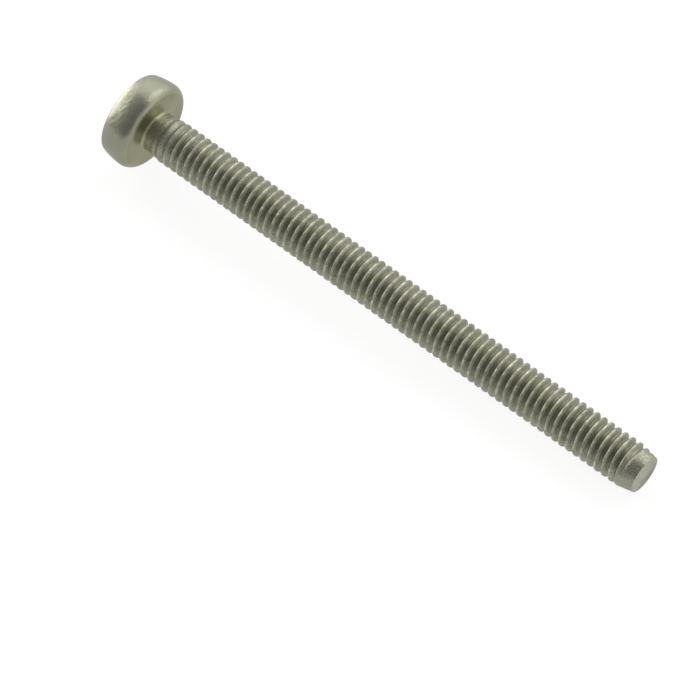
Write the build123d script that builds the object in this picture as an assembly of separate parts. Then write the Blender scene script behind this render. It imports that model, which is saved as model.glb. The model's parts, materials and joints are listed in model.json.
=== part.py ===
"""A pan head machine screw with a four-wing cross recess and a fully threaded shank, M4 x 50.

The screw is one solid. It is drawn upright, with its axis on Z, the underside of the head at Z = 0,
the crown above and the point below. Then it is laid down as it comes to rest on a flat surface,
on the edge of its head and on its point, with the point towards +X. The origin is the middle of
the underside of the head. All sizes are in millimetres.
"""

from build123d import *
import math
import os

# Head
head_d = 7.8  # widest, just above the underside
head_height = 3.3  # underside to crown
dome_rise = 0.6  # how much of that height is the domed top
side_draft = 0.27  # the side leans in by this much on its way up to the dome
seat_edge_r = 0.87  # rounded edge of the underside
dome_edge_r = 0.15  # edge between the side and the dome

# Shank
length = 50.0  # underside of the head to the end of the point
thread_d = 3.84  # over the crests of the thread
thread_pitch = 0.7
neck_inset = 0.2  # the plain neck under the head lies this far below the crests, all round
neck_fillet_r = 0.25
neck_length = 0.45  # underside of the head to where the thread starts to rise
run_out_turns = 1.25  # turns of the thread over which it rises from the neck to full height
point_inset = 0.32  # the end face is this much smaller than the crests, all round
point_length = 1.5  # length of the taper down to the end face

# Cross recess: four wings round a square core, which is turned by 45 degrees
recess_span = 4.5  # across two opposite wings, where they meet the dome
recess_depth = 2.35  # crown to the floor of the wings
wing_width = 1.26  # at the mouth
wing_floor_width = 1.1
wing_end_angle = 26.5  # slope of the end of each wing
core_width = 2.5  # across the flats of the core, at the mouth
core_floor_width = 2.16
bevel_width = 3.2  # across the flats of the shallow bevel where the core meets the dome
bevel_depth = 0.42
floor_cone_depth = 0.35  # dimple that the punch leaves in the floor
recess_turn = 0.0  # degrees, about the axis

# Four marks between the wings: grooves that run out on the dome
mark_reach = 2.65  # from the axis to the outer tip
mark_width = 0.34  # at the core
mark_depth = 0.55  # at the core
mark_start = 1.0  # from the axis, inside the core

CUT_OVER = 0.5  # how far cutting tools stand above the crown

head_r = head_d / 2
thread_r = thread_d / 2
neck_r = thread_r - neck_inset
point_r = thread_r - point_inset
face_r = head_r - side_draft
side_height = head_height - dome_rise
dome_r = (face_r**2 + dome_rise**2) / (2 * dome_rise)
run_out = run_out_turns * thread_pitch
full_thread_end = length - point_length


def dome_height(radius):
    """Height of the dome's surface at a distance from the axis."""
    return head_height - dome_r + math.sqrt(dome_r**2 - radius**2)


def turned_body():
    """The screw with no recess: one profile, turned about Z."""
    side_rise = side_height - seat_edge_r
    side_r = (side_draft**2 + side_rise**2) / (2 * side_draft)
    side_lean = math.degrees(math.asin(side_rise / side_r))
    dome_half_angle = math.degrees(math.asin(face_r / dome_r))
    dome = CenterArc((0, head_height - dome_r), dome_r, 90 - dome_half_angle, dome_half_angle)
    side = CenterArc((head_r - side_r, seat_edge_r), side_r, 0, side_lean)
    seat_edge = CenterArc((head_r - seat_edge_r, seat_edge_r), seat_edge_r, -90, 90)
    neck_fillet = CenterArc((neck_r + neck_fillet_r, -neck_fillet_r), neck_fillet_r, 90, 90)
    underside = Line((head_r - seat_edge_r, 0), (neck_r + neck_fillet_r, 0))
    shank = Polyline(
        (neck_r, -neck_fillet_r),
        (neck_r, -neck_length),
        (thread_r, -neck_length - run_out),
        (thread_r, -full_thread_end),
        (point_r, -length),
        (0, -length),
        (0, head_height),
    )
    profile = make_face([dome, side, seat_edge, underside, neck_fillet, shank])
    dome_edge = profile.vertices().sort_by_distance((face_r, side_height))[0]
    profile = fillet(dome_edge, dome_edge_r)
    return revolve(Plane.XZ * profile, Axis.Z)


def tapered_block(size_at, top, bottom, turn):
    """A four-sided block round Z. size_at(height) gives its two sides, and turn is about Z."""
    sections = [Pos(0, 0, z) * Rot(0, 0, turn) * Rectangle(*size_at(z)) for z in (top, bottom)]
    return loft(sections, ruled=True)


def wing_pair(turn):
    """Two opposite wings: a slot whose ends slope in and whose sides close slightly with depth."""
    floor = head_height - recess_depth
    mouth = dome_height(recess_span / 2)
    slope = math.tan(math.radians(wing_end_angle))

    def size_at(z):
        share = (z - floor) / (mouth - floor)
        width = wing_floor_width + (wing_width - wing_floor_width) * share
        return recess_span + 2 * slope * (z - mouth), width

    return tapered_block(size_at, head_height + CUT_OVER, floor, turn)


def core_block(upper, lower, top_width, bottom_width, turn):
    """A square block that is top_width across at height upper and bottom_width at height lower."""

    def size_at(z):
        width = bottom_width + (top_width - bottom_width) * (z - lower) / (upper - lower)
        return width, width

    return tapered_block(size_at, head_height + CUT_OVER, lower, turn)


def mark_groove():
    """A V groove along +X: deep and wide at the core, running out to nothing on the dome."""
    top = head_height + CUT_OVER
    depth_at_core = dome_height(core_width / 2) - mark_depth
    slope = (dome_height(mark_reach) - depth_at_core) / (mark_reach - core_width / 2)
    keel_start = depth_at_core - slope * (core_width / 2 - mark_start)
    flank = mark_width / 2 / mark_depth
    tip = mark_reach + (top - dome_height(mark_reach)) / slope
    half = flank * (top - keel_start)
    left, right = Vector(mark_start, half, top), Vector(mark_start, -half, top)
    keel, end = Vector(mark_start, 0, keel_start), Vector(tip, 0, top)
    corners = [(left, right, keel), (left, keel, end), (right, end, keel), (left, end, right)]
    return Solid(Shell([Face(Wire.make_polygon(three)) for three in corners]))


def cross_recess():
    """Everything that the punch pressed out of the head, as one cutting solid."""
    floor = head_height - recess_depth
    mouth = dome_height(core_width / 2)
    bevel_mouth = dome_height(bevel_width / 2)
    bevel_floor_width = core_floor_width + (core_width - core_floor_width) * (
        (bevel_mouth - bevel_depth - floor) / (mouth - floor)
    )
    cutter = wing_pair(0) + wing_pair(90)
    cutter += core_block(mouth, floor, core_width, core_floor_width, 45)
    cutter += core_block(bevel_mouth, bevel_mouth - bevel_depth, bevel_width, bevel_floor_width, 45)
    dimple_r = core_floor_width / 2
    cutter += Pos(0, 0, floor - floor_cone_depth / 2) * Cone(0.01, dimple_r, floor_cone_depth)
    for mark in range(4):
        cutter += Rot(0, 0, 45 + 90 * mark) * mark_groove()
    return Rot(0, 0, recess_turn) * cutter


def rest_tilt():
    """Angle, in degrees, by which the axis of the lying screw dips towards its point.

    The rounded edge of the head and the last full crest of the thread touch the same flat surface.
    """
    along = full_thread_end + seat_edge_r
    across = thread_r - head_r + seat_edge_r
    reach = math.hypot(along, across)
    return math.degrees(math.asin(seat_edge_r / reach) - math.atan2(across, along))


def lay_down(upright):
    """Turns the upright screw to its rest, with the point towards +X."""
    return Rot(0, rest_tilt() - 90, 0) * upright


screw = lay_down(turned_body() - cross_recess())

os.makedirs("parts", exist_ok=True)
export_step(screw, "parts/screw.step")

tilt = math.radians(rest_tilt())
print(f"tilt {math.degrees(tilt):.5f}  towards the point ({math.cos(tilt):.7f}, 0, {-math.sin(tilt):.7f})")
print(f"volume {screw.volume:.2f} mm3, box {screw.bounding_box()}")
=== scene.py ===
import json
import math
import bmesh
import bpy
import numpy as np
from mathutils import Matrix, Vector


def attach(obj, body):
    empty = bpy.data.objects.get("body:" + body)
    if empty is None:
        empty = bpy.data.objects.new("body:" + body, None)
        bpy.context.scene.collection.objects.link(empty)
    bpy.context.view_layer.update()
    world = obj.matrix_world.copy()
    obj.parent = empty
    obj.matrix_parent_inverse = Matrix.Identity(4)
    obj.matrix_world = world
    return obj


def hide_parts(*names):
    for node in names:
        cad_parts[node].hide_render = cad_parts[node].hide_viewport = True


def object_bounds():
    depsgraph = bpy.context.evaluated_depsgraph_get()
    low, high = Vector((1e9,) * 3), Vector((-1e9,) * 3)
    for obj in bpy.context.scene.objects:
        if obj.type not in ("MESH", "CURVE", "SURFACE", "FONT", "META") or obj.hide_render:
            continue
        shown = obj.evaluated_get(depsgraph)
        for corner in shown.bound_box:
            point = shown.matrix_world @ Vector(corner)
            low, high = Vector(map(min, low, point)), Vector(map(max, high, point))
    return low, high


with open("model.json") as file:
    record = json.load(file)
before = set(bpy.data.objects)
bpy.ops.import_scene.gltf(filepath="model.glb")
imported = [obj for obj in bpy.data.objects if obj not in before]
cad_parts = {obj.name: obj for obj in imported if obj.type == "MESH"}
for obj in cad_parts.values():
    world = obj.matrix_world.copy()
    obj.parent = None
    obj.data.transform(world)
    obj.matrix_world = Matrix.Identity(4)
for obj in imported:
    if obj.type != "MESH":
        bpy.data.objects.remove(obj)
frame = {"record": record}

cadLow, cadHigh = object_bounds()
shankMount = next(mount for mount in frame["record"]["mounts"] if mount["name"] == "shank")
print("frame loaded, box in mm", [round(v * 1000, 2) for v in (*cadLow, *cadHigh)])

# The screw's own axes: along runs from the head to the point, side is level, above is square to both.
along = np.array(shankMount["axis"], float)
side = np.array([0.0, 1.0, 0.0])
above = np.cross(along, side)
tiltAngle = math.atan2(-along[2], along[0])

# In millimetres, measured on the screw's own axis from the underside of the head: heights run up to the
# dome, and lengths run to the point.
screw = {
    "columns": 80,  # points round the axis, a multiple of 80, so that each corner of the recess has its own
    "headRadius": 3.9,
    "headHeight": 3.3,
    "domeRise": 0.6,
    "sideDraft": 0.27,  # the side leans in by this much on its way up
    "seatEdgeRadius": 0.87,  # rounding between the side and the underside
    "seatLineAngle": 57,  # where a thin bright line is painted on that rounding, a painted highlight, in degrees from the side
    "domeEdge": 0.14,  # how much of the edge between side and dome is rounded
    "neckInset": 0.2,  # the neck is thinner than the crests by this much all round
    "neckFillet": 0.25,
    "neckLength": 0.45,
    "length": 50.0,
    "recess": {
        "span": 4.5,
        "depth": 2.35,
        "wingWidth": 1.26,
        "wingFloorWidth": 1.1,
        "wingEndAngle": 26.5,  # degrees from the axis
        "coreWidth": 2.5,
        "coreFloorWidth": 2.16,
        "bevelWidth": 3.2,
        "bevelDepth": 0.42,
        "dimpleDepth": 0.35,
        "markReach": 2.65,
        "markWidth": 0.34,
        "markDepth": 0.55,
        "markGrowth": (0.2, 0.5),  # the marks widen and lengthen by these shares when the outline grows
        "lipRound": 0.06,  # rounding where the punch drew the metal down
        "cornerColumns": (0, 1, 2, 3, 4, 7, 10),  # where the corners stand, in tenths of an eighth of a turn
        "cornerStep": 0.05,  # the columns beside a wing's corner are this far from it
        "endColumn": 0.45,  # and one on its end is at this share of its half width
    },
    "thread": {
        "crestRadius": shankMount["dims"]["r_mm"],
        "pitch": 0.7,
        "depth": 0.35,
        # a rolled 60 degree thread with a round root: half of it, in shares of a pitch from the middle of the
        # crest and of the depth. The two sides of the crest leave a fine seam where they close.
        "places": (0.0, 0.06, 0.095, 0.12, 0.15, 0.29, 0.42, 0.46, 0.5),
        "depths": (0.03, 0.0, 0.02, 0.06, 0.14, 0.55, 0.93, 0.985, 1.0),
        "crestRunOut": 1.5,  # the crests rise from the neck over this length
        "grooveRunOut": 3.2,  # and the grooves take longer to reach their depth
        "lastGroove": (1.7, 0.8),  # the last groove fades between these distances from the end
        "lastGrooveLean": (0.4, 0.3),  # and so much later on one side, at this turn in radians
        "wander": 0.010,  # unevenness of the rolled crests
        "wanderWaves": ((3, 1.7, 0), (7, -2.9, 1), (16, 0.8, 2)),  # in a turn, in radians a millimetre, start
    },
    "point": {
        "inset": 0.32,
        "length": 1.5,
        "dish": 0.05,  # the end face is hollow by this much
        "flatTowards": (0.5, -0.87),  # a sheared flat on it: its direction,
        "flatStart": 0.42,  # where it starts, as a share of the radius,
        "flatDrop": 0.12,  # and how far it falls
    },
    # how bright the metal is in each place, against 1 for the plain surface
    "shading": {
        "recess": 0.18,  # painted shade: the recess is darkened all through, floor and punched walls
        # painted highlight on the rounding at the mouth of the recess
        "lip": 1.1,
        # painted highlight: a thin bright line round the underside's rounding
        "seatLine": 1.5,
        "seat": 0.94,
        "seatTint": (1.0, 1.0, 0.84),
        "root": 0.85,  # painted shade: the thread's roots are darker
        "crest": 0.5,  # painted highlight: how much brighter the crests get in places
        "highlightDepth": 0.08,  # the share of the thread's depth that the painted highlight on the crests covers
        "highlightWaves": ((9, 3.7), (5, -1.3)),  # waves that make the painted highlight uneven: in a turn and in radians a millimetre
        "cutFace": 1.3,  # the end face at the point is brighter than the plain surface
        "shearedFlat": 1.0,
    },
}
recess = screw["recess"]
thread = screw["thread"]
point = screw["point"]
shading = screw["shading"]

neckRadius = thread["crestRadius"] - screw["neckInset"]
faceRadius = screw["headRadius"] - screw["sideDraft"]
sideHeight = screw["headHeight"] - screw["domeRise"]
domeRadius = (faceRadius**2 + screw["domeRise"] ** 2) / (2 * screw["domeRise"])
sideRise = sideHeight - screw["seatEdgeRadius"]
sideArcRadius = (screw["sideDraft"] ** 2 + sideRise**2) / (2 * screw["sideDraft"])
recessFloor = screw["headHeight"] - recess["depth"]
turns = np.arange(screw["columns"]) * 2 * math.pi / screw["columns"]


# Goes from low towards high: low plus a share of the difference.
def blend(low, high, share):
    return low + (high - low) * share


# Smooth step: three times the square less twice the cube of a share that is held between 0 and 1.
def smooth(share):
    held = np.clip(share, 0, 1)
    return held * held * (3 - 2 * held)


# Height of the dome at a distance from the axis: a sphere's cap.
def domeHeight(radius):
    return screw["headHeight"] - domeRadius + np.sqrt(domeRadius**2 - radius**2)


# Radius of the head's side at a height: a shallow arc that is widest where the rounding begins.
def sideRadiusAt(height):
    rise = height - screw["seatEdgeRadius"]
    return screw["headRadius"] - sideArcRadius + np.sqrt(sideArcRadius**2 - rise**2)


# Distance from the axis to the core's flats at a height: a straight taper from the floor to the mouth.
def coreFlatAt(height):
    share = (height - recessFloor) / (domeHeight(recess["coreWidth"] / 2) - recessFloor)
    return blend(recess["coreFloorWidth"], recess["coreWidth"], share) / 2


# Outline of the recess at a height, one point for each column. One eighth of a turn runs from the middle
# of a wing's end, along its side and the core's flat, to the tip of the mark on the diagonal. It is
# mirrored in the diagonal, and the quarter is turned four times. grow widens it evenly.
def recessOutline(height, grow=0.0):
    wingMouth = domeHeight(recess["span"] / 2)
    end = recess["span"] / 2 + math.tan(math.radians(recess["wingEndAngle"])) * (height - wingMouth) + grow
    wingShare = (height - recessFloor) / (wingMouth - recessFloor)
    half = blend(recess["wingFloorWidth"], recess["wingWidth"], wingShare) / 2 + grow

    # the core's flats lean further out in the bevel at the mouth
    bevelFloor = domeHeight(recess["bevelWidth"] / 2) - recess["bevelDepth"]
    bevelShare = (height - bevelFloor) / recess["bevelDepth"]
    bevelFlat = blend(coreFlatAt(bevelFloor), recess["bevelWidth"] / 2, bevelShare)
    flat = np.where(height > bevelFloor, bevelFlat, coreFlatAt(height)) + grow

    # a mark is a V whose keel rises in a straight line from the core to the dome
    coreRadius = recess["coreWidth"] / 2
    keelAtCore = domeHeight(coreRadius) - recess["markDepth"]
    keelSlope = (domeHeight(recess["markReach"]) - keelAtCore) / (recess["markReach"] - coreRadius)
    keelHere = keelAtCore + keelSlope * (flat - coreRadius)
    flank = recess["markWidth"] / 2 / recess["markDepth"]
    widens, lengthens = recess["markGrowth"]
    markHalf = np.maximum(flank * (height - keelHere), 0) + widens * grow
    tip = np.maximum(coreRadius + (height - keelAtCore) / keelSlope, flat) + lengthens * grow

    eighths = np.arange(screw["columns"]) * 8 / screw["columns"] % 2  # 0 on a wing, 1 on the diagonal
    mirrored = eighths > 1
    tenths = np.where(mirrored, 2 - eighths, eighths) * 10
    diagonal = math.sqrt(2)
    nearCorner = recess["cornerStep"]
    inner = flat * diagonal - half  # where the wing's side meets the core's flat
    us = [end, end, end, end - nearCorner, inner, (flat + markHalf) / diagonal, tip / diagonal]
    vs = [0 * half, recess["endColumn"] * half, half - nearCorner, half, half]
    vs += [(flat - markHalf) / diagonal, tip / diagonal]
    stops = recess["cornerColumns"]
    u, v = np.zeros_like(tenths), np.zeros_like(tenths)
    for n, (low, high) in enumerate(zip(stops, stops[1:])):
        share = (tenths - low) / (high - low)
        inside = (tenths >= low) & (tenths <= high)
        u = np.where(inside, blend(us[n], us[n + 1], share), u)
        v = np.where(inside, blend(vs[n], vs[n + 1], share), v)
    u, v = np.where(mirrored, v, u), np.where(mirrored, u, v)
    quarter = np.arange(screw["columns"]) * 4 // screw["columns"] * math.pi / 2
    return np.stack([u * np.cos(quarter) - v * np.sin(quarter), u * np.sin(quarter) + v * np.cos(quarter)], 1)


# Outline of the recess on the dome, and its heights: each point's height is the dome's own there, found by
# going half of the way to it again and again.
def recessMouth(grow):
    halvings = 40
    height = np.full(screw["columns"], screw["headHeight"])
    for attempt in range(halvings):
        outline = recessOutline(height, grow)
        height = (height + domeHeight(np.hypot(*outline.T))) / 2
    return recessOutline(height, grow), height


# A ring of points at a radius and a height: its cosine to the side and its sine above.
def ring(radius, height):
    return np.stack([0 * turns - height, radius * np.cos(turns), radius * np.sin(turns)], 1)


# Rings from the middle of the recess to the dome, with the brightness of each: a cone for its floor, the
# outline at each height for its walls, then a small rounding on to the dome.
def recessRings():
    rings = [ring(0.0, recessFloor - recess["dimpleDepth"])]
    for share in (0.12, 0.4, 0.7, 0.97):
        height = recessFloor - recess["dimpleDepth"] * (1 - share)
        rings.append(ring(recess["coreFloorWidth"] / 2 * share, height))
    mouthHeight = recessMouth(0.0)[1]
    clearOfMarks = 0.02
    belowMarks = domeHeight(recess["coreWidth"] / 2) - recess["markDepth"] - clearOfMarks
    heights = [blend(recessFloor, belowMarks, share) for share in (0.0, 0.05, 0.35, 0.7, 1.0)]
    heights += [blend(belowMarks, mouthHeight, share) for share in (0.07, 0.16, 0.24, 0.36, 0.55, 0.8, 0.93)]
    for height in heights:
        height = height + 0 * mouthHeight  # one for each column
        rings.append(np.column_stack([-height, recessOutline(height)]))
    # painted shade inside the recess, and a painted highlight on the rounding at its mouth
    bright = [shading["recess"]] * (len(rings) - 1) + [(shading["recess"] + shading["lip"]) / 2]
    lip = recess["lipRound"]
    for outwards, below in ((0.18, 0.35), (0.5, 0.12), (1.0, 0.0)):
        outline, height = recessMouth(outwards * lip)
        rings.append(np.column_stack([below * lip - height, outline]))
        bright.append(shading["lip"])
    return rings, bright


# Rings over the dome from a ring on it: each point goes straight out to the rim, and its height is the cap's.
def domeRings(inner):
    rim = ring(faceRadius - screw["domeEdge"], 0)[:, 1:]
    rings = []
    for share in (0.08, 0.2, 0.35, 0.5, 0.65, 0.8, 0.92, 1.0):
        flatPoints = blend(inner[:, 1:], rim, share)
        rings.append(np.column_stack([-domeHeight(np.hypot(*flatPoints.T)), flatPoints]))
    return rings


# Radii and heights from the rim of the dome to the neck, and which of them is the seat line. A curve pulled
# towards the corner joins dome and side, and arcs make the side, the rounding and the neck's fillet.
def headProfile():
    edgeIn = faceRadius - screw["domeEdge"]
    edgeDown = sideHeight - screw["domeEdge"]
    leaves, corner, joins = np.array(
        [(edgeIn, domeHeight(edgeIn)), (faceRadius, sideHeight), (sideRadiusAt(edgeDown), edgeDown)]
    )
    ways = (0.2, 0.4, 0.6, 0.8, 1.0)
    profile = [(1 - t) ** 2 * leaves + 2 * t * (1 - t) * corner + t**2 * joins for t in ways]
    profile += [(sideRadiusAt(h), h) for h in np.linspace(edgeDown, screw["seatEdgeRadius"], 7)[1:]]
    line = screw["seatLineAngle"]
    downTurns = sorted({8, 16, 24, 32, 40, 48, 53, line - 1, line, line + 1, 61, 67, 73, 79, 84, 90})
    lineAt = len(profile) + downTurns.index(line)
    down = np.radians(downTurns)
    rounding = screw["seatEdgeRadius"]
    seatMiddle = screw["headRadius"] - rounding
    profile += list(np.column_stack([seatMiddle + rounding * np.cos(down), rounding * (1 - np.sin(down))]))
    fillet = screw["neckFillet"]
    filletOut = neckRadius + fillet
    profile += [(r, 0.0) for r in np.linspace(seatMiddle, filletOut, 5)[1:]]
    down = np.radians(np.linspace(90, 180, 7)[1:])
    profile += list(np.column_stack([filletOut + fillet * np.cos(down), -fillet * (1 - np.sin(down))]))
    profile.append((neckRadius, -0.5 * (fillet + screw["neckLength"])))
    return profile, lineAt


# Rings from the middle of the recess over the dome and down to the neck, with the brightness of each: the
# seat line is a painted highlight, and the underside is tinted from it to the fillet.
def headRings():
    rings, bright = recessRings()
    rings += domeRings(rings[-1])
    profile, lineAt = headProfile()
    lineAt += len(rings)
    rings += [ring(radius, height) for radius, height in profile]
    neckRings = 5
    # a painted highlight on the seat line
    bright += [1.0] * (lineAt - len(bright)) + [shading["seatLine"]]
    bright += [shading["seat"]] * (len(rings) - neckRings - len(bright)) + [1.0] * neckRings
    tint = np.outer(bright, (1.0, 1.0, 1.0))
    tint[lineAt:-1] *= shading["seatTint"]
    return np.array(rings), np.repeat(tint[:, None], screw["columns"] + 1, 1)


# Radius and brightness of the shank at a length and a turn. The thread's section is read off by the phase,
# which is the length in pitches less the turn. Crests and grooves grow from the neck by smooth steps, the
# last groove fades, and the point's taper takes off a share of its inset.
def shankRadius(x, turn):
    phase = (x / thread["pitch"] - turn / (2 * math.pi)) % 1.0
    deep = np.interp(np.minimum(phase, 1 - phase), thread["places"], thread["depths"])
    waves = thread["wanderWaves"]
    wander = sum(np.sin(count * turn + onwards * x + start) for count, onwards, start in waves)
    wander = thread["wander"] * (wander / (2 * len(waves)) - 0.5) * (1 - deep)
    # painted highlight on the crests, uneven along them
    highlightRipple = [np.sin(count * turn + onwards * x) for count, onwards in shading["highlightWaves"]]
    shine = shading["crest"] * (0.5 + np.prod(highlightRipple, 0)) * np.clip(1 - deep / shading["highlightDepth"], 0, 1)

    fromEnd = screw["length"] - x
    early, late = thread["lastGroove"]
    lean, leanTurn = thread["lastGrooveLean"]
    fade = (fromEnd - late + lean * np.cos(turn - leanTurn)) / (early - late)
    crestGrown = smooth((x - screw["neckLength"]) / thread["crestRunOut"])
    grooveGrown = smooth((x - screw["neckLength"]) / thread["grooveRunOut"]) * np.clip(fade, 0, 1)
    taper = point["inset"] * np.clip(1 - fromEnd / point["length"], 0, 1)

    deep = deep * grooveGrown
    radius = blend(neckRadius, thread["crestRadius"], crestGrown) - taper
    # painted shade in the roots and painted highlight on the crests
    bright = 1 + (shading["root"] - 1) * deep + shine * grooveGrown
    return radius + wander * grooveGrown - thread["depth"] * deep, bright


# Rows that follow the helix: each is one place on the thread's section, and moves along by one pitch for a
# turn. Rows that start before the neck or end past the point are held at its edge.
def shankRows():
    places = sorted({round(p, 4) for q in thread["places"] for p in (q, 1 - q)} - {1.0})
    pitch = thread["pitch"]
    first = math.floor(screw["neckLength"] / pitch) - 2
    last = math.ceil(screw["length"] / pitch) + 1
    starts = np.array([(n + p) * pitch for n in range(first, last) for p in places])
    turn = np.linspace(0, 2 * math.pi, screw["columns"] + 1)
    x = np.clip(starts[:, None] + pitch * turn / (2 * math.pi), screw["neckLength"], screw["length"])
    angle = np.broadcast_to(turn, x.shape)
    radius, bright = shankRadius(x, angle)
    rows = np.stack([x, radius * np.cos(angle), radius * np.sin(angle)], 2)
    keep = (x.max(1) > screw["neckLength"]) & (x.min(1) < screw["length"])
    keep[np.argmax(keep) - 1] = True  # and one whole ring at each edge
    keep[len(keep) - np.argmax(keep[::-1])] = True
    return rows[keep], bright[keep]


# Rings of the end face from the rim to the middle, with their brightness. It is hollow like a shallow bowl,
# and past a straight crease the sheared flat falls away.
def endRings(rim):
    rings, bright = [], []
    y, z = point["flatTowards"]
    for share in (0.95, 0.85, 0.75, 0.65, 0.55, 0.45, 0.35, 0.2, 0.0):
        beyond = np.clip(share * (y * np.cos(turns) + z * np.sin(turns)) - point["flatStart"], 0, 1)
        dish = point["dish"] * (1 - share**2) ** 0.5 + point["flatDrop"] * beyond * (1 - share)
        rings.append(np.column_stack([screw["length"] - dish, rim[:, 1:] * share]))
        bright.append(np.where(beyond > 0, shading["shearedFlat"], shading["cutFace"]))
    return np.array(rings), np.array(bright)


# Repeats the first column after the last, so that a grid of rings closes its turn.
def closeTurn(grid):
    return np.concatenate([grid, grid[:, :1]], 1)


# Makes one closed mesh from rows of points that each have a column for both ends of the turn. Points that
# fall on one another are merged, which closes the seam, the poles and the ends of the helix.
def meshFromRows(name, rows, bright):
    mergeDistance = 2e-7
    sharpAngle = math.radians(40)
    rowCount, columnCount = rows.shape[:2]
    points = rows.reshape(-1, 3)
    metres = 0.001 * (points[:, :1] * along + points[:, 1:2] * side + points[:, 2:] * above)
    index = np.arange(rowCount * columnCount).reshape(rowCount, columnCount)
    quads = np.stack([index[:-1, :-1], index[:-1, 1:], index[1:, 1:], index[1:, :-1]], 2).reshape(-1, 4)
    mesh = bpy.data.meshes.new(name)
    mesh.from_pydata(metres, [], quads)
    layer = mesh.attributes.new("brightness", "FLOAT_VECTOR", "POINT")
    layer.data.foreach_set("vector", bright.ravel().astype(np.float32))
    work = bmesh.new()
    work.from_mesh(mesh)
    bmesh.ops.remove_doubles(work, verts=work.verts, dist=mergeDistance)
    bmesh.ops.recalc_face_normals(work, faces=work.faces)
    openEdges = sum(1 for edge in work.edges if len(edge.link_faces) != 2)
    volume = work.calc_volume(signed=True)
    work.to_mesh(mesh)
    work.free()
    mesh.shade_smooth()
    mesh.set_sharp_from_angle(angle=sharpAngle)
    piece = bpy.data.objects.new(name, mesh)
    bpy.context.scene.collection.objects.link(piece)
    print(name, "faces", len(mesh.polygons), "open edges", openEdges, "volume mm3", round(volume * 1e9, 2))
    return piece


# The whole screw as one skin: the head's rings, the shank's rows and the end face's rings, one after another.
def makeScrew():
    head, headBright = headRings()
    shank, shankBright = shankRows()
    tipRadius = shankRadius(np.full(screw["columns"], screw["length"]), turns)[0]
    end, endBright = endRings(ring(tipRadius, -screw["length"]))
    grey = np.concatenate([shankBright, closeTurn(endBright)])
    bright = np.concatenate([headBright, np.repeat(grey[:, :, None], 3, 2)])
    return meshFromRows("machineScrew", np.concatenate([closeTurn(head), shank, closeTurn(end)]), bright)


screwPiece = makeScrew()
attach(screwPiece, "root")
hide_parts("screw")
print("screw made")

# Lengths in metres, and noise scales for a metre.
steel = {
    "light": (0.60, 0.60, 0.48, 1),
    "dark": (0.33, 0.33, 0.25, 1),
    "headRoughness": 0.33,
    "threadRoughness": 0.38,
    "threadStart": 0.0008,  # the head's finish has turned into the thread's here
    "slowNoise": (450.0, 4.0, 0.6),  # scale, detail and roughness
    "waves": 1.0,  # strength of the slow unevenness left by the blow that formed the head
    "waveHeight": 0.0001,
    "fineNoise": (6000.0, 3.0, 0.65),
    "headGrain": 0.05,
    "threadGrain": 1.0,  # strength of the fine bumps
    "grainHeight": 0.00005,
    "speckle": 0.9,  # how much the fine noise changes the colour of the thread
    "speckleRange": (0.3, 0.7),  # the part of the fine noise that does
    # two hairline cracks that run out from the recess over the dome: across, along, start and end
    "cracks": [
        ("Y", "Z", -0.0035, -0.00232),
        ("Z", "Y", -0.0029, -0.0024),
    ],
    "crackWidth": 0.00004,
    "crackWander": 0.001,
    "crackDarkness": 0.75,
    "crackFloor": 0.00262,  # they stay above this height of the head
}


# Gives an input what it takes: a link from another node, or else a plain value.
def feed(tree, taker, value):
    if isinstance(value, bpy.types.NodeSocket):
        tree.links.new(value, taker)
    else:
        taker.default_value = value


# Adds a node with its settings, feeds its inputs in order or by name, and returns it.
def addNode(tree, kind, *ordered, settings=None, **named):
    node = tree.nodes.new(kind)
    for setting, value in (settings or {}).items():
        setattr(node, setting, value)
    for key, value in [*enumerate(ordered), *named.items()]:
        feed(tree, node.inputs[key], value)
    return node


# One step of arithmetic between numbers.
def calculate(tree, operation, *values):
    return addNode(tree, "ShaderNodeMath", *values, settings={"operation": operation}).outputs[0]


# One step of arithmetic between colours or directions, which leaves another.
def combine(tree, operation, *values, **named):
    settings = {"operation": operation}
    return addNode(tree, "ShaderNodeVectorMath", *values, settings=settings, **named).outputs[0]


# A colour between two: the first at 0 and the second at 1.
def mixColours(tree, share, first, second):
    mix = addNode(tree, "ShaderNodeMix", share, settings={"data_type": "RGBA"})
    feed(tree, mix.inputs[6], first)
    feed(tree, mix.inputs[7], second)
    return mix.outputs[2]


# Noise of a scale, detail and roughness, between 0 and 1.
def noise(tree, place, scale, detail, roughness):
    asked = {"Vector": place, "Scale": scale, "Detail": detail, "Roughness": roughness}
    return addNode(tree, "ShaderNodeTexNoise", **asked).outputs["Fac"]


# One value on the head and another on the thread, straight from one to the other by the distance along.
def headToThread(tree, distance, onHead, onThread):
    part = (distance, 0.0, steel["threadStart"], onHead, onThread)
    return addNode(tree, "ShaderNodeMapRange", *part).outputs[0]


# How sound the metal is: 1, less the darkness of each crack. A crack is where the distance to a wandering
# line is under half its width, between its ends, on the dome alone.
def soundness(tree, axes, slow):
    onDome = calculate(tree, "LESS_THAN", axes["X"], -steel["crackFloor"])
    wander = calculate(tree, "MULTIPLY_ADD", slow, steel["crackWander"], -steel["crackWander"] / 2)
    sound = 1.0
    for across, lengthwise, start, stop in steel["cracks"]:
        near = calculate(tree, "COMPARE", axes[across], wander, steel["crackWidth"] / 2)
        within = calculate(tree, "COMPARE", axes[lengthwise], (start + stop) / 2, (stop - start) / 2)
        crack = calculate(tree, "MULTIPLY", calculate(tree, "MULTIPLY", near, within), onDome)
        sound = calculate(tree, "SUBTRACT", sound, calculate(tree, "MULTIPLY", crack, steel["crackDarkness"]))
    return sound


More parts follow.
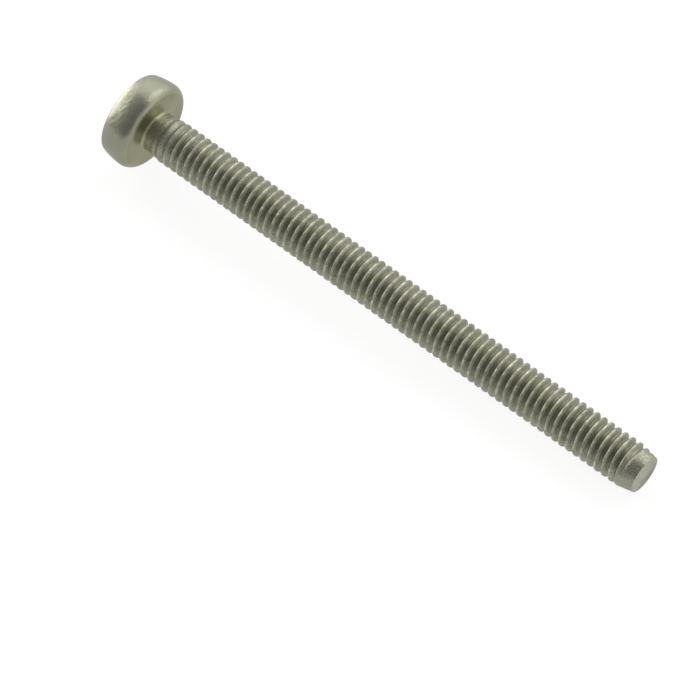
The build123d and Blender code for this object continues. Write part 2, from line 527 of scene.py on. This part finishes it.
# Metal: the colour wanders between two tones with slow and fine noise and is multiplied by the brightness of
# each place. The same noises bend the surface a little, and the thread is rougher than the head.
def steelMaterial():
    material = bpy.data.materials.new("stainlessSteel")
    material.use_nodes = True
    tree = material.node_tree
    own = addNode(tree, "ShaderNodeTexCoord").outputs["Object"]
    turned = addNode(tree, "ShaderNodeMapping", Vector=own, Rotation=(0, -tiltAngle, 0)).outputs[0]
    axes = addNode(tree, "ShaderNodeSeparateXYZ", turned).outputs
    slow = noise(tree, turned, *steel["slowNoise"])
    fine = noise(tree, turned, *steel["fineNoise"])

    darker = headToThread(tree, axes["X"], 0.0, -0.5 * steel["speckle"])
    lighter = headToThread(tree, axes["X"], 0.0, 0.5 * steel["speckle"])
    speckle = addNode(tree, "ShaderNodeMapRange", fine, *steel["speckleRange"], darker, lighter).outputs[0]
    tone = mixColours(tree, calculate(tree, "ADD", slow, speckle), steel["dark"], steel["light"])
    # the brightness carries painted shade and painted highlights, besides the underside's tint
    brightness = addNode(tree, "ShaderNodeAttribute", settings={"attribute_name": "brightness"})
    shaded = combine(tree, "MULTIPLY", tone, brightness.outputs["Vector"])
    colour = combine(tree, "SCALE", shaded, Scale=soundness(tree, axes, slow))

    uneven = {"Height": slow, "Strength": steel["waves"], "Distance": steel["waveHeight"]}
    waves = addNode(tree, "ShaderNodeBump", **uneven).outputs[0]
    grain = headToThread(tree, axes["X"], steel["headGrain"], steel["threadGrain"])
    gritty = {"Height": fine, "Strength": grain, "Distance": steel["grainHeight"], "Normal": waves}
    bumps = addNode(tree, "ShaderNodeBump", **gritty).outputs[0]
    shader = tree.nodes["Principled BSDF"]
    shader.inputs["Metallic"].default_value = 1.0
    tree.links.new(colour, shader.inputs["Base Color"])
    rough = headToThread(tree, axes["X"], steel["headRoughness"], steel["threadRoughness"])
    tree.links.new(rough, shader.inputs["Roughness"])
    tree.links.new(bumps, shader.inputs["Normal"])
    return material


screwPiece.data.materials.append(steelMaterial())
print("steel made")

studio = {
    "floorSize": 3.0,
    "floorGlow": 0.88,  # what the floor shows the camera without any light
    "floorPaint": 0.24,  # how much its lit paint adds, which is where the shadow shows
    "floorBounce": 0.9,  # how white its paint is to the screw
    "floorMirror": 0.62,  # what the metal sees of it
    "room": 0.21,  # how bright the plain room is, all round
    # brighter parts of the room: direction, where each starts and is full, and how much it adds
    "backWall": ((0.0, 0.993, -0.12), 0.08, 0.5, 0.71),
    "pointWall": ((0.99, 0.0, 0.1), 0.8, 0.97, 0.42),
    "window": ((-0.987, -0.05, 0.15), 0.75, 0.90, 2.7),  # at the head's end
    "windowColour": (1.0, 0.99, 0.95),
    "lamps": [
        # name, azimuth, elevation, distance, size, power, colour
        ("topLamp", 165, 45, 0.6, 0.6, 0.45, (1.0, 0.99, 0.96)),
    ],
    "camera": {
        "azimuth": 40.03,
        "elevation": 54.31,
        "distance": 0.380,
        "lens": 248.5,
        "sensor": 36,
        "clip": (0.01, 20),
        "aim": (-0.00231, -0.00546),  # from the middle of the box, to the right and up in the view
    },
}
white = (1, 1, 1, 1)
middle = (Vector(cadLow) + Vector(cadHigh)) / 2


# White floor: it shines nearly white to the camera, and its lit paint adds the rest, less in the shadow.
def whiteMaterial():
    material = bpy.data.materials.new("whiteFloor")
    material.use_nodes = True
    tree = material.node_tree
    tree.nodes.remove(tree.nodes["Principled BSDF"])
    rays = addNode(tree, "ShaderNodeLightPath").outputs
    paint = addNode(tree, "ShaderNodeBsdfDiffuse", Color=(studio["floorBounce"],) * 3 + (1,)).outputs[0]
    faint = addNode(tree, "ShaderNodeBsdfDiffuse", Color=(studio["floorPaint"],) * 3 + (1,)).outputs[0]
    glow = addNode(tree, "ShaderNodeEmission", Color=white, Strength=studio["floorGlow"]).outputs[0]
    mirror = addNode(tree, "ShaderNodeEmission", Color=white, Strength=studio["floorMirror"]).outputs[0]
    shown = addNode(tree, "ShaderNodeAddShader", faint, glow).outputs[0]
    mirrored = addNode(tree, "ShaderNodeMixShader", rays["Is Glossy Ray"], paint, mirror).outputs[0]
    mixed = addNode(tree, "ShaderNodeMixShader", rays["Is Camera Ray"], mirrored, shown).outputs[0]
    tree.links.new(mixed, tree.nodes["Material Output"].inputs["Surface"])
    return material


# A level square round the origin, at the lowest height of the screw.
def makeFloor():
    half = studio["floorSize"] / 2
    corners = [(x, y, cadLow[2]) for x, y in ((-half, -half), (half, -half), (half, half), (-half, half))]
    mesh = bpy.data.meshes.new("floor")
    mesh.from_pydata(corners, [], [(0, 1, 2, 3)])
    mesh.materials.append(whiteMaterial())
    floor = bpy.data.objects.new("floor", mesh)
    bpy.context.scene.collection.objects.link(floor)


# How much a part of the room adds to a direction: a smooth step of how far the two lean the same way.
def towards(tree, seen, direction, start, full, adds):
    lean = addNode(tree, "ShaderNodeVectorMath", seen, direction, settings={"operation": "DOT_PRODUCT"})
    smoothly = {"interpolation_type": "SMOOTHSTEP"}
    part = (lean.outputs["Value"], start, full, 0.0, adds)
    return addNode(tree, "ShaderNodeMapRange", *part, settings=smoothly).outputs[0]


# What the metal sees all round: the room, a bright wall behind, another at the point's end, and a window at
# the head's end. The camera sees plain white instead.
def makeRoom():
    world = bpy.data.worlds.new("studio")
    bpy.context.scene.world = world
    world.use_nodes = True
    tree = world.node_tree
    seen = addNode(tree, "ShaderNodeTexCoord").outputs["Generated"]
    pointEnd = calculate(tree, "ADD", towards(tree, seen, *studio["pointWall"]), studio["room"])
    walls = calculate(tree, "ADD", towards(tree, seen, *studio["backWall"]), pointEnd)
    grey = addNode(tree, "ShaderNodeCombineColor", Red=walls, Green=walls, Blue=walls).outputs[0]
    panes = towards(tree, seen, *studio["window"])
    room = combine(tree, "ADD", grey, combine(tree, "SCALE", studio["windowColour"], Scale=panes))
    toCamera = addNode(tree, "ShaderNodeLightPath").outputs["Is Camera Ray"]
    shown = mixColours(tree, toCamera, room, white)
    tree.links.new(shown, tree.nodes["Background"].inputs["Color"])
    tree.nodes["Background"].inputs["Strength"].default_value = 1.0


# A direction from an azimuth, 0 seen from -Y and turning towards +X, and an elevation.
def directionOf(azimuth, elevation):
    a, e = math.radians(azimuth), math.radians(elevation)
    return Vector((math.sin(a) * math.cos(e), -math.cos(a) * math.cos(e), math.sin(e)))


# Puts a lamp or a camera in the scene, turned so that its back is towards a direction.
def placeFacing(name, data, location, away):
    placed = bpy.data.objects.new(name, data)
    bpy.context.scene.collection.objects.link(placed)
    placed.location = location
    placed.rotation_mode = "QUATERNION"
    placed.rotation_quaternion = away.to_track_quat("Z", "Y")
    return placed


# Round lamps, each at its distance from the middle of the screw and turned to it.
def makeLamps():
    for name, azimuth, elevation, distance, size, power, colour in studio["lamps"]:
        light = bpy.data.lights.new(name, "AREA")
        light.shape = "DISK"
        light.size = size
        light.energy = power
        light.color = colour
        away = directionOf(azimuth, elevation)
        placeFacing(name, light, middle + away * distance, away)


# The camera looks along its direction at a point beside the middle, moved right and up in its own view.
def makeCamera():
    view = studio["camera"]
    data = bpy.data.cameras.new("camera")
    data.lens = view["lens"]
    data.sensor_width = view["sensor"]
    data.clip_start, data.clip_end = view["clip"]
    back = directionOf(view["azimuth"], view["elevation"])
    turn = math.radians(view["azimuth"])
    right = Vector((math.cos(turn), math.sin(turn), 0))
    aim = middle + right * view["aim"][0] + back.cross(right) * view["aim"][1]
    bpy.context.scene.camera = placeFacing("camera", data, aim + back * view["distance"], back)
    bpy.context.scene.view_settings.view_transform = "Standard"


makeFloor()
makeRoom()
makeLamps()
makeCamera()
print("studio made")
